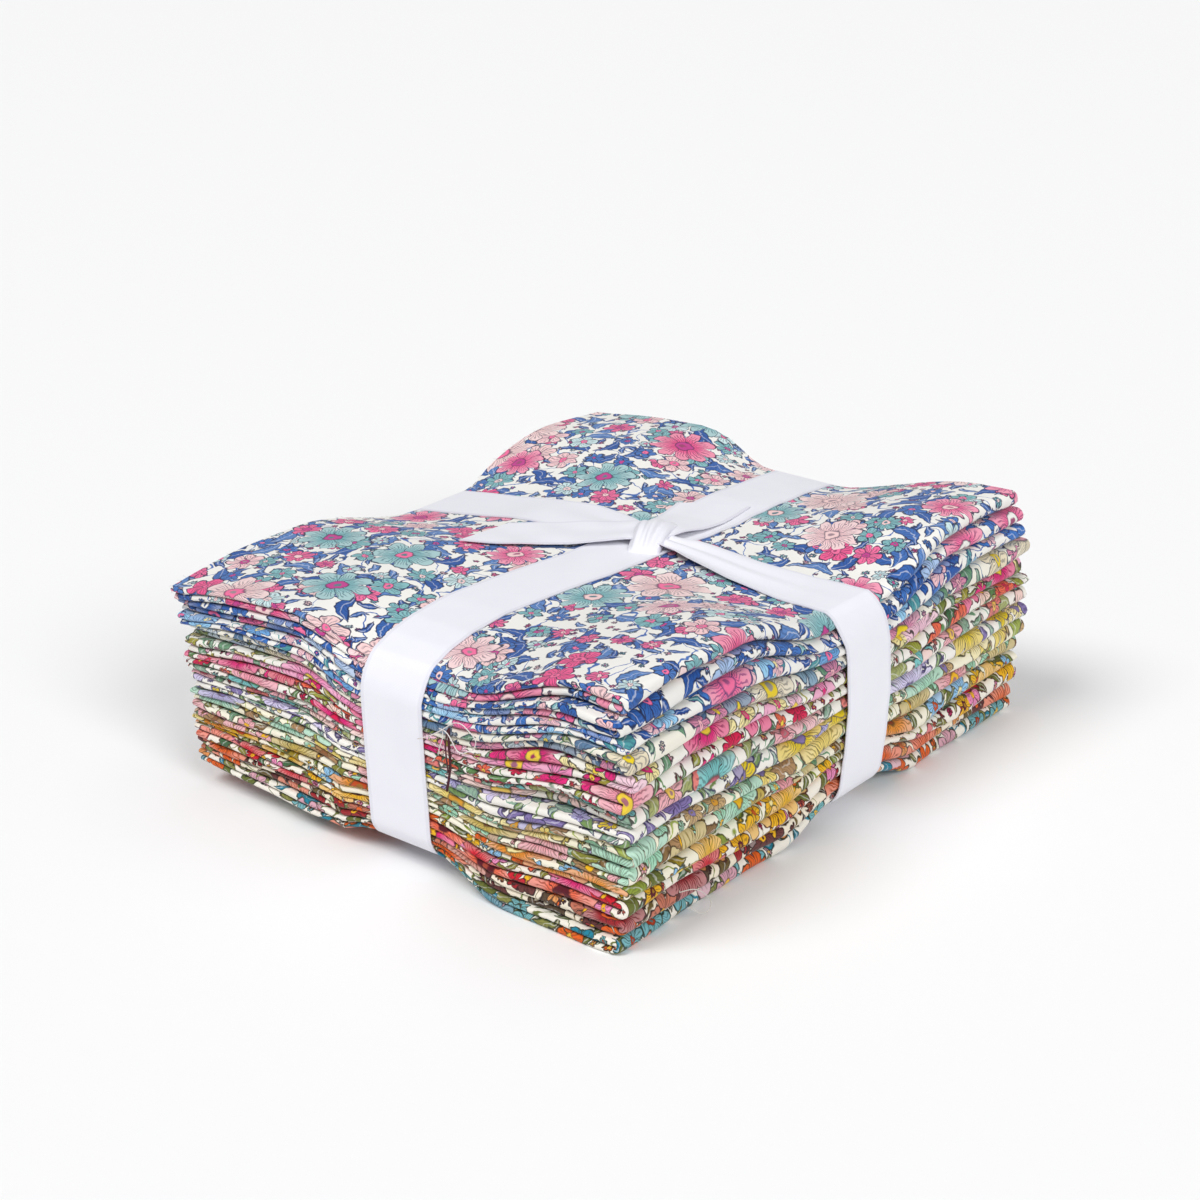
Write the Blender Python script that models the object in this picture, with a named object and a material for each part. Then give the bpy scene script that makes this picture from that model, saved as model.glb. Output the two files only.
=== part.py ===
"""Fat quarter bundle: fourteen folded cotton fat quarters in one stack, tied crosswise with a flat ribbon.

Each fat quarter is one sheet. It is folded in half, with the half fold at the front (-Y), and then in thirds
like a letter, with the big rounded fold at +X. The doubled cloth is modelled as one sheet. The ribbon pulls
the stack in, so the four corners of the stack stand up between its arms.
"""

import bpy
import bmesh
import numpy as np

MM = 0.001

# The stack, in millimetres. X runs across the letter folds and Y along them.
WIDTH_X = 186.0
LENGTH_Y = 224.0
PIECES = 14
SHEET = 1.5  # one doubled layer of cloth
LAYER_GAP = 0.3  # between the passes of one piece
PIECE_GAP = 0.6  # between two pieces
PIECE = 3 * SHEET + 2 * LAYER_GAP
STACK = PIECES * PIECE + (PIECES - 1) * PIECE_GAP
TUCK = 3.5  # the inner pass ends this far before the big fold

# The top of the stack: its corners, and the valleys that the ribbon's arms press into it.
CORNERS = (
    # side in x, side in y, height, droop
    (-1, -1, 73.5, 4.0),
    (-1, 1, 77.5, 3.5),
    (1, -1, 84.0, 3.0),
    (1, 1, 82.5, 0.5),
)
DROOP_REACH = 34.0
CROWN = 1.5
RIBBON_X, RIBBON_Y = 4.0, 8.0  # centre lines of the pressed bands
FLAT = 13.0  # half width of the pressed band
TOP_REACH, RIGHT_REACH, BOTTOM_REACH = 62.0, 72.0, 42.0
UNDER_Y_ARMS = (
    # y, and the height of the valley there
    (-112.0, -106.0, -98.0, -88.0, -72.0, 10.0, 60.0, 88.0, 100.0, 112.0),
    (66.5, 69.0, 72.0, 74.0, 75.0, 75.0, 74.0, 72.0, 70.8, 69.0),
)
UNDER_X_ARMS = (
    # x, and the height of the valley there
    (-93.0, -85.0, -70.0, -42.0, 8.0, 57.0, 80.0, 88.0, 93.0),
    (66.0, 67.0, 69.5, 73.0, 75.0, 73.5, 72.8, 71.8, 70.5),
)

# The bottom: the arms lift it by this much at the crossing and at each edge, and one corner curls up.
BOTTOM_MID = 2.3
BOTTOM_EDGE = {"front": 6.0, "back": 3.0, "right": 5.0, "left": 3.0}
CURL_X = ((-93.0, -85.0, -40.0, -26.0, 4.0), (9.0, 9.0, 6.3, 6.0, 0.0))
CURL_Y = ((-112.0, -50.0), (1.0, 0.0))

# How far the ribbon draws each edge of the stack in.
PULL_IN = {"left": 1.5, "right": -1.5, "front": 0.0, "back": 1.0}

# Lines that the meshes of all the pieces share, so that neighbours stay parallel.
LINES_X = (-60.0, -34.0, -12.0, 20.0, 46.0, 84.0)
LINES_Y = (-103.0, -74.0, -10.0, 24.0, 46.0, 80.0)

# How far each piece reaches past the nominal edges, from the top piece down.
EDGES = (
    # left, back, front_left, front_right, right_front, right_back
    (2.0, -1.5, 0.5, -1.5, -3.0, -3.0),
    (1.0, 0.5, -0.8, 2.0, -1.0, 0.5),
    (0.0, -0.5, 0.0, 1.0, 1.0, 1.5),
    (-3.0, 1.0, -1.5, 1.5, 2.0, 3.0),
    (-1.5, -0.5, -0.5, 0.0, 2.5, 1.5),
    (-1.0, 1.5, 0.0, 0.5, 1.0, 3.0),
    (-2.0, 1.0, -0.5, -1.0, 1.5, 2.5),
    (-2.5, 1.0, -1.0, 1.5, 0.5, 3.5),
    (-2.0, 1.0, -0.5, 0.0, 2.0, 2.5),
    (-2.5, 0.0, -0.5, -1.0, 1.5, 1.0),
    (-2.8, -1.0, -1.0, 0.6, 2.5, 2.0),
    (-2.8, -1.5, -1.0, -0.2, 1.5, 2.5),
    (-3.0, -2.0, -1.5, 0.5, 1.5, 0.5),
    (-3.5, -1.5, -1.5, 1.0, 0.5, 0.0),
)

# Mean colour of each print from the top piece down, and of the ribbon, as linear red, green and blue.
PRINTS = (
    ("blue_and_pink", (0.42, 0.50, 0.70)),
    ("royal_blue", (0.33, 0.42, 0.66)),
    ("sky_blue", (0.36, 0.50, 0.72)),
    ("steel_blue", (0.40, 0.47, 0.58)),
    ("pink_and_olive", (0.60, 0.38, 0.40)),
    ("crimson", (0.62, 0.27, 0.34)),
    ("rose_and_sage", (0.60, 0.45, 0.42)),
    ("lavender", (0.47, 0.42, 0.56)),
    ("primrose", (0.68, 0.58, 0.34)),
    ("tan_and_mint", (0.46, 0.42, 0.29)),
    ("mustard", (0.56, 0.40, 0.16)),
    ("red", (0.58, 0.17, 0.16)),
    ("russet", (0.40, 0.22, 0.18)),
    ("teal_and_rust", (0.33, 0.32, 0.25)),
)
CLOTH_ROUGHNESS = 0.88
RIBBON_COLOUR = (0.80, 0.80, 0.86)
RIBBON_ROUGHNESS = 0.6

# The ribbon: one length that crosses under the stack and is knotted on top, with two slanted ends.
RIBBON_WIDTH = 25.0
RIBBON = 0.9
RIBBON_GAP = 0.4  # between the cloth and the ribbon
SLANT = 0.71  # the bisector of a right angle, for the bend at each edge
LIFT, LIFT_FROM, LIFT_TO = 0.5, -20.0, 30.0  # the X arm rides higher here, over the Y arm
Y_ARM_CENTRES = {
    "top": ((-112.0, 10.0, 111.0), (2.5, 8.5, 6.5)),
    "low": (2.5, 3.5, 5.5),
    "high": (6.5, 5.0, 4.0),
    "bottom": ((-112.0, 111.0), (5.5, 4.0)),
}
X_ARM_CENTRES = {
    "top": ((-91.5, 8.5, 50.0, 94.5), (8.0, 9.0, 5.0, 8.0)),
    "low": (8.0, 8.0, 8.0),
    "high": (8.0, 13.0, 8.0),
    "bottom": ((-91.5, 94.5), (8.0, 8.0)),
}
KNOT = (8.5, 10.0)
KNOT_OVER = 1.2  # its underside, over the cloth
KNOT_SIZE = (15.0, 25.0, 5.0)
KNOT_TURN = 25.0
KNOT_SIDES, KNOT_SQUARENESS = 16, 0.6
KNOT_RINGS = ((0.80, 0.0), (1.0, 0.30), (1.0, 0.60), (0.78, 0.90), (0.40, 1.0))  # share of size, level
LEFT_TAIL = (
    # one edge and the other edge, each as x, y and the height over the cloth
    ((-38.5, -8.5, 1.3), (-38.0, -35.0, 1.3)),
    ((-22.0, 2.5, 2.2), (-12.0, -16.0, 2.2)),
    ((4.0, 19.0, 3.9), (14.0, 2.0, 3.9)),
)
BACK_TAIL = (
    ((16.0, 56.0, 2.4), (-6.0, 44.0, 2.4)),
    ((19.0, 30.0, 3.2), (-3.0, 28.0, 3.2)),
    ((16.0, 8.0, 3.6), (2.0, 6.0, 3.6)),
)


def smooth(t):
    """An even step from 0 to 1."""
    t = np.clip(t, 0.0, 1.0)
    return t * t * (3.0 - 2.0 * t)


def pressed(distance, reach):
    """1 in the band under the ribbon, falling to 0 at the reach."""
    return 1.0 - smooth((np.abs(distance) - FLAT) / (reach - FLAT))


def stack_top(x, y):
    """Height of the tied stack's top."""
    u, v = 2 * x / WIDTH_X, 2 * y / LENGTH_Y
    z = CROWN * max(0.0, 1.0 - u**2) * max(0.0, 1.0 - v**2)
    for side_x, side_y, height, droop in CORNERS:
        away = np.hypot(x - side_x * WIDTH_X / 2, y - side_y * LENGTH_Y / 2)
        z += height * (1 + side_x * u) * (1 + side_y * v) / 4
        z -= droop * max(0.0, 1.0 - away / DROOP_REACH) ** 1.5
    by_y_arm = pressed(x - RIBBON_X, RIGHT_REACH if x > RIBBON_X else TOP_REACH)
    by_x_arm = pressed(y - RIBBON_Y, TOP_REACH)
    held = 1.0 - (1.0 - by_y_arm) * (1.0 - by_x_arm)
    if held == 0.0:
        return z
    valley = by_y_arm * np.interp(y, *UNDER_Y_ARMS) + by_x_arm * np.interp(x, *UNDER_X_ARMS)
    return z + held * (valley / (by_y_arm + by_x_arm) - z)


def stack_bottom(x, y):
    """Height of the tied stack's bottom: flat on the table but for the arms and the left front quarter."""
    edge_y = BOTTOM_EDGE["back" if y > 0 else "front"]
    edge_x = BOTTOM_EDGE["right" if x > 0 else "left"]
    by_y_arm = (BOTTOM_MID + edge_y * (2 * y / LENGTH_Y) ** 2) * pressed(x - RIBBON_X, BOTTOM_REACH)
    by_x_arm = (BOTTOM_MID + edge_x * (2 * x / WIDTH_X) ** 2) * pressed(y - RIBBON_Y, BOTTOM_REACH)
    return max(by_y_arm, by_x_arm, np.interp(x, *CURL_X) * np.interp(y, *CURL_Y))


def on_lines(height, x, y):
    """The height at (x, y), straight between the shared lines and straight on past the outer ones."""
    lines_x, lines_y = (-WIDTH_X / 2, *LINES_X, WIDTH_X / 2), (-LENGTH_Y / 2, *LINES_Y, LENGTH_Y / 2)
    i = int(np.clip(np.searchsorted(lines_x, x) - 1, 0, len(lines_x) - 2))
    j = int(np.clip(np.searchsorted(lines_y, y) - 1, 0, len(lines_y) - 2))
    u = (x - lines_x[i]) / (lines_x[i + 1] - lines_x[i])
    v = (y - lines_y[j]) / (lines_y[j + 1] - lines_y[j])
    low = height(lines_x[i], lines_y[j]) * (1 - u) + height(lines_x[i + 1], lines_y[j]) * u
    high = height(lines_x[i], lines_y[j + 1]) * (1 - u) + height(lines_x[i + 1], lines_y[j + 1]) * u
    return low * (1 - v) + high * v


def placed(x, y, level):
    """A point at this level of the flat stack, moved to where the tied stack has it."""
    low = on_lines(stack_bottom, x, y)
    return (x, y, low + (on_lines(stack_top, x, y) - low) * level / STACK)


def edges_x(piece, y):
    """Left and right ends of a piece at this y."""
    left, _, _, _, right_front, right_back = EDGES[piece]
    hold = pressed(y - RIBBON_Y, TOP_REACH)
    right = right_front + (right_back - right_front) * (y / LENGTH_Y + 0.5)
    half = WIDTH_X / 2
    return (
        -(half + left * (1 - hold) - PULL_IN["left"] * hold),
        half + right * (1 - hold) - PULL_IN["right"] * hold,
    )


def edges_y(piece, x):
    """Front and back ends of a piece at this x."""
    _, back, front_left, front_right, _, _ = EDGES[piece]
    hold = pressed(x - RIBBON_X, TOP_REACH)
    front = front_left + (front_right - front_left) * (x / WIDTH_X + 0.5)
    half = LENGTH_Y / 2
    return (
        -(half + front * (1 - hold) - PULL_IN["front"] * hold),
        half + back * (1 - hold) - PULL_IN["back"] * hold,
    )


def section(left, right):
    """The letter fold of one sheet in x and height: centre points and outward normals, from the cut end in."""
    middle = PIECE / 2
    big = middle - SHEET / 2
    small = (SHEET + LAYER_GAP) / 2
    right_centre = right - middle
    left_centre = left + small + SHEET / 2
    out = [((left, PIECE - SHEET / 2), (0.0, 1.0))]
    out += [((x, PIECE - SHEET / 2), (0.0, 1.0)) for x in LINES_X]
    for angle in np.radians((90, 45, 0, -45, -90)):
        n = (np.cos(angle), np.sin(angle))
        out.append(((right_centre + big * n[0], middle + big * n[1]), n))
    out += [((x, SHEET / 2), (0.0, -1.0)) for x in reversed(LINES_X)]
    for angle in np.radians((-90, -150, 150, 90)):
        n = (np.cos(angle), np.sin(angle))
        out.append(((left_centre + small * n[0], SHEET / 2 + small + small * n[1]), n))
    out += [((x, middle), (0.0, 1.0)) for x in LINES_X[:-1]]
    out.append(((right_centre - TUCK, middle), (0.0, 1.0)))
    return out


def material(name, colour, roughness):
    made = bpy.data.materials.new(name)
    made.use_nodes = True
    shader = made.node_tree.nodes["Principled BSDF"]
    shader.inputs["Base Color"].default_value = (*colour, 1.0)
    shader.inputs["Roughness"].default_value = roughness
    shader.inputs["Metallic"].default_value = 0.0
    return made


def solid(name, points, faces):
    mesh = bpy.data.meshes.new(name)
    mesh.from_pydata([tuple(c * MM for c in p) for p in points], [], faces)
    bm = bmesh.new()
    bm.from_mesh(mesh)
    bmesh.ops.recalc_face_normals(bm, faces=bm.faces)
    bmesh.ops.triangulate(bm, faces=bm.faces)
    bm.to_mesh(mesh)
    bm.free()
    obj = bpy.data.objects.new(name, mesh)
    bpy.context.scene.collection.objects.link(obj)
    return obj


def fat_quarter(number):
    """One folded sheet. The rows run along Y, and each row holds the section at that place."""
    piece = number - 1
    base = (PIECES - number) * (PIECE + PIECE_GAP)
    rows = [None, *LINES_Y, None]
    points = []
    for j, line in enumerate(rows):
        at_y = line if line is not None else (-1 if j == 0 else 1) * LENGTH_Y / 2
        for side in (1, -1):
            for (x, z), n in section(*edges_x(piece, at_y)):
                x, z = x + side * n[0] * SHEET / 2, z + side * n[1] * SHEET / 2
                y = line if line is not None else edges_y(piece, x)[0 if j == 0 else 1]
                points.append(placed(x, y, base + z))
    centres = [p[0] for p, _ in section(-WIDTH_X / 2, WIDTH_X / 2)]
    steps = len(centres)
    row = 2 * steps
    faces = []
    for j in range(len(rows) - 1):
        a, b = j * row, (j + 1) * row
        for i in range(steps - 1):
            for c, d in ((a + i, b + i), (a + steps + i, b + steps + i)):
                # The same diagonal in plan on every pass, so that facing facets are parallel.
                if centres[i + 1] > centres[i]:
                    faces += [(c, c + 1, d + 1), (c, d + 1, d)]
                else:
                    faces += [(c, c + 1, d), (c + 1, d + 1, d)]
        faces.append((a, b, b + steps, a + steps))
        faces.append((a + steps - 1, a + row - 1, b + row - 1, b + steps - 1))
    for a in (0, (len(rows) - 1) * row):
        for i in range(steps - 1):
            faces.append((a + i, a + steps + i, a + steps + i + 1, a + i + 1))
    obj = solid(f"fat_quarter_{number:02d}", points, faces)
    print_name, colour = PRINTS[piece]
    obj.data.materials.append(material(print_name, colour, CLOTH_ROUGHNESS))
    obj.data.shade_smooth()
    obj.data.set_sharp_from_angle(angle=np.radians(50))
    return obj


def loop_stations(ends, lines, centres):
    """Places round one loop of ribbon: along, level (0 bottom, 1 top), outward normal and centre line."""
    low_end, high_end = ends
    order = [high_end, *reversed(lines), low_end]
    out = [(s, 1.0, (0.0, 1.0), np.interp(s, *centres["top"])) for s in order]
    for end, sign, key in ((low_end, -1, "low"), (high_end, 1, "high")):
        high, middle, low = centres[key]
        side = [
            (end, 1.0, (sign * SLANT, SLANT), high),
            (end, 1.0, (sign, 0.0), high),
            (end, 0.5, (sign, 0.0), middle),
            (end, 0.0, (sign, 0.0), low),
            (end, 0.0, (sign * SLANT, -SLANT), low),
        ]
        if sign < 0:
            out += side
            out += [(s, 0.0, (0.0, -1.0), np.interp(s, *centres["bottom"])) for s in reversed(order)]
        else:
            out += list(reversed(side))
    return out


def ribbon_loop(name, ends, lines, centres, along_x):
    """One closed loop of ribbon, along X or along Y. The one along X rides over the other where they cross."""
    points = []
    for s, level, n, centre in loop_stations(ends, lines, centres):
        lifted = LIFT if along_x and LIFT_FROM < s < LIFT_TO else 0.0
        for sideways in (centre - RIBBON_WIDTH / 2, centre + RIBBON_WIDTH / 2):
            x, y = (s, sideways) if along_x else (sideways, s)
            high, low = on_lines(stack_top, x, y), on_lines(stack_bottom, x, y)
            z = low + (high - low) * level
            middle = RIBBON_GAP + RIBBON / 2 + lifted * abs(n[1])
            for h in (middle - RIBBON / 2, middle + RIBBON / 2):
                out = s + n[0] * h
                points.append((*((out, sideways) if along_x else (sideways, out)), z + n[1] * h))
    count = len(points) // 4
    faces = []
    for i in range(count):
        a, b = 4 * i, 4 * ((i + 1) % count)
        for p, q in ((0, 1), (1, 3), (3, 2), (2, 0)):
            faces.append((a + p, a + q, b + q, b + p))
    return solid(name, points, faces)


def tail(name, stations):
    """A flat free end. Each station has its two edges as x, y and height over the cloth."""
    points = []
    for edges in stations:
        for x, y, over in edges:
            z = on_lines(stack_top, x, y) + over
            points += [(x, y, z - RIBBON / 2), (x, y, z + RIBBON / 2)]
    faces = [(0, 1, 3, 2)]
    for i in range(len(stations) - 1):
        a, b = 4 * i, 4 * (i + 1)
        for p, q in ((0, 1), (1, 3), (3, 2), (2, 0)):
            faces.append((a + p, a + q, b + q, b + p))
    a = 4 * (len(stations) - 1)
    faces.append((a, a + 2, a + 3, a + 1))
    return solid(name, points, faces)


def knot(name, z):
    """The pressed lump of the knot: a box with rounded edges, domed towards its middle."""
    c, s = np.cos(np.radians(KNOT_TURN)), np.sin(np.radians(KNOT_TURN))
    points = []
    for scale, level in KNOT_RINGS:
        for k in range(KNOT_SIDES):
            angle = 2 * np.pi * k / KNOT_SIDES
            p = np.sign(np.cos(angle)) * abs(np.cos(angle)) ** KNOT_SQUARENESS * scale * KNOT_SIZE[0] / 2
            q = np.sign(np.sin(angle)) * abs(np.sin(angle)) ** KNOT_SQUARENESS * scale * KNOT_SIZE[1] / 2
            points.append((KNOT[0] + c * p - s * q, KNOT[1] + s * p + c * q, z + level * KNOT_SIZE[2]))
    last = (len(KNOT_RINGS) - 1) * KNOT_SIDES
    faces = [tuple(range(KNOT_SIDES)), tuple(range(last, last + KNOT_SIDES))]
    for j in range(len(KNOT_RINGS) - 1):
        for k in range(KNOT_SIDES):
            a, b = j * KNOT_SIDES + k, j * KNOT_SIDES + (k + 1) % KNOT_SIDES
            faces.append((a, b, b + KNOT_SIDES, a + KNOT_SIDES))
    return solid(name, points, faces)


def joined(name, parts):
    """One solid from the overlapping parts."""
    body = parts[0]
    for part in parts[1:]:
        modifier = body.modifiers.new("join", "BOOLEAN")
        modifier.operation = "UNION"
        modifier.solver = "EXACT"
        modifier.object = part
    graph = bpy.context.evaluated_depsgraph_get()
    mesh = bpy.data.meshes.new_from_object(body.evaluated_get(graph))
    for part in parts:
        bpy.data.objects.remove(part)
    mesh.name = name
    obj = bpy.data.objects.new(name, mesh)
    bpy.context.scene.collection.objects.link(obj)
    return obj


def ribbon():
    """The two loops, the knot and the two free ends as one solid."""
    ends_x = (-WIDTH_X / 2 + PULL_IN["left"], WIDTH_X / 2 - PULL_IN["right"])
    ends_y = (-LENGTH_Y / 2 + PULL_IN["front"], LENGTH_Y / 2 - PULL_IN["back"])
    parts = [
        ribbon_loop("first", ends_y, LINES_Y, Y_ARM_CENTRES, along_x=False),
        ribbon_loop("second", ends_x, LINES_X, X_ARM_CENTRES, along_x=True),
        knot("knot", on_lines(stack_top, *KNOT) + KNOT_OVER),
        tail("left_tail", LEFT_TAIL),
        tail("back_tail", BACK_TAIL),
    ]
    obj = joined("ribbon", parts)
    obj.data.materials.append(material("ribbon", RIBBON_COLOUR, RIBBON_ROUGHNESS))
    return obj


def centre_all():
    """Moves the whole object so that its box stands centred on the origin, on the table."""
    objects = list(bpy.context.scene.collection.objects)
    corners = np.array([v.co[:] for obj in objects for v in obj.data.vertices])
    low, high = corners.min(axis=0), corners.max(axis=0)
    move = np.array((-(low[0] + high[0]) / 2, -(low[1] + high[1]) / 2, -low[2]))
    for obj in objects:
        for vertex in obj.data.vertices:
            vertex.co = np.array(vertex.co[:]) + move


def build():
    for obj in list(bpy.data.objects):
        bpy.data.objects.remove(obj)
    for number in range(1, PIECES + 1):
        fat_quarter(number)
    ribbon()
    centre_all()


build()
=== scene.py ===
import math

import bpy
import numpy as np
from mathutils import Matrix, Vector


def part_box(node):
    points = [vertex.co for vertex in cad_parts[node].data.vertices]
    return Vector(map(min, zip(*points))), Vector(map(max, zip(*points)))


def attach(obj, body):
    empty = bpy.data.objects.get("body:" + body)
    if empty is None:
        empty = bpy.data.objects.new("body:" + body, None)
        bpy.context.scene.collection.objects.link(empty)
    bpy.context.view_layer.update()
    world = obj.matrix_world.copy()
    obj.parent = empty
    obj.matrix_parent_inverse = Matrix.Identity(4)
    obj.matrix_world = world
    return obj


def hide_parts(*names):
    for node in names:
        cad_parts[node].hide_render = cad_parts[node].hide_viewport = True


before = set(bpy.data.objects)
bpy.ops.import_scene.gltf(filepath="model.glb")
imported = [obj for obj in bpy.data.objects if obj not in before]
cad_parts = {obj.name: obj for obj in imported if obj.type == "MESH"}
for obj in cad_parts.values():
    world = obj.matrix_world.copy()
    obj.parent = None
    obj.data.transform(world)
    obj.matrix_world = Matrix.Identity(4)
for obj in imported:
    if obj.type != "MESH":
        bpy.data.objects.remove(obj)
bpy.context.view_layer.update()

# The camera stands off the front right corner of the stack, a little above it, with a lens of twice the
# frame's width. The bundle lies on a plain white table in wide soft light, as on a studio sweep.
MM = 0.001
CAMERA_AZIMUTH = math.radians(38.51)
CAMERA_ELEVATION = math.radians(22.05)
CAMERA_PLACE = (0.46459, -0.59169, 0.35872)
CAMERA_LENS = 72.0
camera = bpy.data.objects.new("camera", bpy.data.cameras.new("camera"))
camera.data.lens = CAMERA_LENS
camera.data.sensor_width = 36.0
camera.location = CAMERA_PLACE
camera.rotation_euler = (math.pi / 2 - CAMERA_ELEVATION, 0.0, CAMERA_AZIMUTH)
bpy.context.scene.collection.objects.link(camera)
bpy.context.scene.camera = camera
bpy.context.scene.view_settings.view_transform = "Standard"


def new_object(name, mesh):
    """A linked object that sits at the origin."""
    made = bpy.data.objects.new(name, mesh)
    bpy.context.scene.collection.objects.link(made)
    return made


FLOOR_HALF = 3.0
floor_corners = [(x * FLOOR_HALF, y * FLOOR_HALF, 0.0) for x, y in ((-1, -1), (1, -1), (1, 1), (-1, 1))]
floor_mesh = bpy.data.meshes.new("floor")
floor_mesh.from_pydata(floor_corners, [], [(0, 1, 2, 3)])
floor = new_object("floor", floor_mesh)
floor_paint = bpy.data.materials.new("floor_paint")
floor_paint.use_nodes = True
floor_shader = floor_paint.node_tree.nodes["Principled BSDF"]
floor_shader.inputs["Base Color"].default_value = (0.90, 0.90, 0.905, 1.0)
floor_shader.inputs["Roughness"].default_value = 0.7
floor.data.materials.append(floor_paint)

world = bpy.data.worlds.new("studio")
bpy.context.scene.world = world
world.use_nodes = True
world.node_tree.nodes["Background"].inputs["Color"].default_value = (1.0, 1.0, 1.0, 1.0)
world.node_tree.nodes["Background"].inputs["Strength"].default_value = 0.25

SOFT_LIGHTS = (
    # name, where it stands, watts per square metre, how wide it looks in degrees
    ("key", (-0.40, -0.95, 1.45), 1.65, 28.0),
    ("top", (0.10, 0.35, 1.30), 0.45, 50.0),
    ("fill", (1.20, -0.45, 0.85), 1.60, 28.0),
)
for light_name, place, strength, width in SOFT_LIGHTS:
    lamp = bpy.data.lights.new(light_name, "SUN")
    lamp.energy = strength
    lamp.angle = math.radians(width)
    light = bpy.data.objects.new(light_name, lamp)
    light.location = place
    aim = -np.array(place)
    yaw, pitch = math.atan2(aim[1], aim[0]), math.atan2(aim[2], math.hypot(aim[0], aim[1]))
    light.rotation_euler = (math.pi / 2 + pitch, 0.0, yaw - math.pi / 2)
    bpy.context.scene.collection.objects.link(light)

# The stack: fourteen fat quarters of fine cotton lie on each other, each folded in half and then in
# thirds like a letter. Nothing holds them but the ribbon, which presses a cross into the pile, so the
# four quarters between its arms swell, and the left front corner curls off the table.
WIDTH_X, LENGTH_Y = 186.0, 224.0  # millimetres, as all that follows unless it is times MM
PIECES = 14
SHEET, LAYER_GAP, PIECE_GAP = 1.5, 0.3, 0.6  # a pass of doubled cloth, between passes, between pieces
PIECE = 3 * SHEET + 2 * LAYER_GAP
STACK = PIECES * PIECE + (PIECES - 1) * PIECE_GAP
CORNERS = (
    # side in x, side in y, height of the top, droop
    (-1, -1, 73.5, 4.0),
    (-1, 1, 77.5, 3.5),
    (1, -1, 84.0, 3.0),
    (1, 1, 82.5, 0.5),
)
DROOP_REACH, CROWN = 34.0, 1.5
RIBBON_X, RIBBON_Y, FLAT = 4.0, 8.0, 13.0
TOP_REACH, RIGHT_REACH, BOTTOM_REACH, EDGE_REACH = 62.0, 72.0, 42.0, 38.0  # from the ribbon's middle
LEFT_REACH = ((-112.0, -60.0, 0.0, 112.0), (43.0, 62.0, 62.0, 49.0))  # y, and the reach there
BACK_REACH = ((-93.0, 93.0), (71.0, 58.0))  # x, and the reach there
UNDER_Y_ARMS = (
    # y, and the height of the valley that the ribbon presses there
    (-112.0, -106.0, -98.0, -88.0, -72.0, 10.0, 60.0, 88.0, 100.0, 112.0),
    (66.5, 69.0, 72.0, 74.0, 75.0, 75.0, 74.0, 72.0, 70.8, 69.0),
)
UNDER_X_ARMS = (
    # x, and the height of the valley there
    (-93.0, -85.0, -70.0, -42.0, 8.0, 57.0, 80.0, 88.0, 93.0),
    (66.8, 67.8, 69.8, 73.0, 75.0, 73.6, 73.1, 72.6, 71.6),
)
BOTTOM_MID, BOTTOM_FRONT, BOTTOM_BACK, BOTTOM_RIGHT, BOTTOM_LEFT = 2.3, 6.0, 3.0, 5.0, 3.0
# The left front quarter curls off the table by the product of these two, over x and over y.
CURL_X = ((-93.0, -85.0, -40.0, -26.0, 4.0), (9.0, 9.0, 6.3, 6.0, 0.0))
CURL_Y = ((-112.0, -50.0), (1.0, 0.0))
PULL_LEFT, PULL_RIGHT, PULL_FRONT, PULL_BACK = 1.5, -1.5, 0.0, 1.0  # how far the tape draws each edge in
OVER_TABLE = 0.01
ribbon_low, ribbon_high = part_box("ribbon")
CENTRE = (
    (ribbon_low[0] + ribbon_high[0]) / 2 - (PULL_LEFT - PULL_RIGHT) / 2 * MM,
    (ribbon_low[1] + ribbon_high[1]) / 2 - (PULL_FRONT - PULL_BACK) / 2 * MM,
)


def pressed(distance, reach):
    """1 in the band under the ribbon, falling to 0 at the reach."""
    t = np.clip((np.abs(distance) - FLAT) / (reach - FLAT), 0.0, 1.0)
    return 1.0 - t * t * (3.0 - 2.0 * t)


def stack_top(x, y):
    """Height of the tied stack's top: four swollen quarters with the ribbon's valleys between them."""
    u, v = 2 * x / WIDTH_X, 2 * y / LENGTH_Y
    z = CROWN * np.maximum(0.0, 1 - u**2) * np.maximum(0.0, 1 - v**2)
    for side_x, side_y, height, droop in CORNERS:
        away = np.hypot(x - side_x * WIDTH_X / 2, y - side_y * LENGTH_Y / 2)
        z = z + height * (1 + side_x * u) * (1 + side_y * v) / 4
        z = z - droop * np.maximum(0.0, 1 - away / DROOP_REACH) ** 1.5
    by_y_arm = pressed(x - RIBBON_X, np.where(x > RIBBON_X, RIGHT_REACH, np.interp(y, *LEFT_REACH)))
    by_x_arm = pressed(y - RIBBON_Y, np.where(y > RIBBON_Y, np.interp(x, *BACK_REACH), TOP_REACH))
    held = 1 - (1 - by_y_arm) * (1 - by_x_arm)
    valley = by_y_arm * np.interp(y, *UNDER_Y_ARMS) + by_x_arm * np.interp(x, *UNDER_X_ARMS)
    return z + held * (valley / np.maximum(by_y_arm + by_x_arm, 1e-6) - z)


def stack_bottom(x, y):
    """Height of the tied stack's bottom: flat on the table but for the arms and the left front quarter."""
    by_y_arm = BOTTOM_MID + np.where(y > 0, BOTTOM_BACK, BOTTOM_FRONT) * (2 * y / LENGTH_Y) ** 2
    by_x_arm = BOTTOM_MID + np.where(x > 0, BOTTOM_RIGHT, BOTTOM_LEFT) * (2 * x / WIDTH_X) ** 2
    arms = np.maximum(
        by_y_arm * pressed(x - RIBBON_X, BOTTOM_REACH),
        by_x_arm * pressed(y - RIBBON_Y, BOTTOM_REACH),
    )
    return np.maximum(arms, np.interp(x, *CURL_X) * np.interp(y, *CURL_Y))


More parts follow.
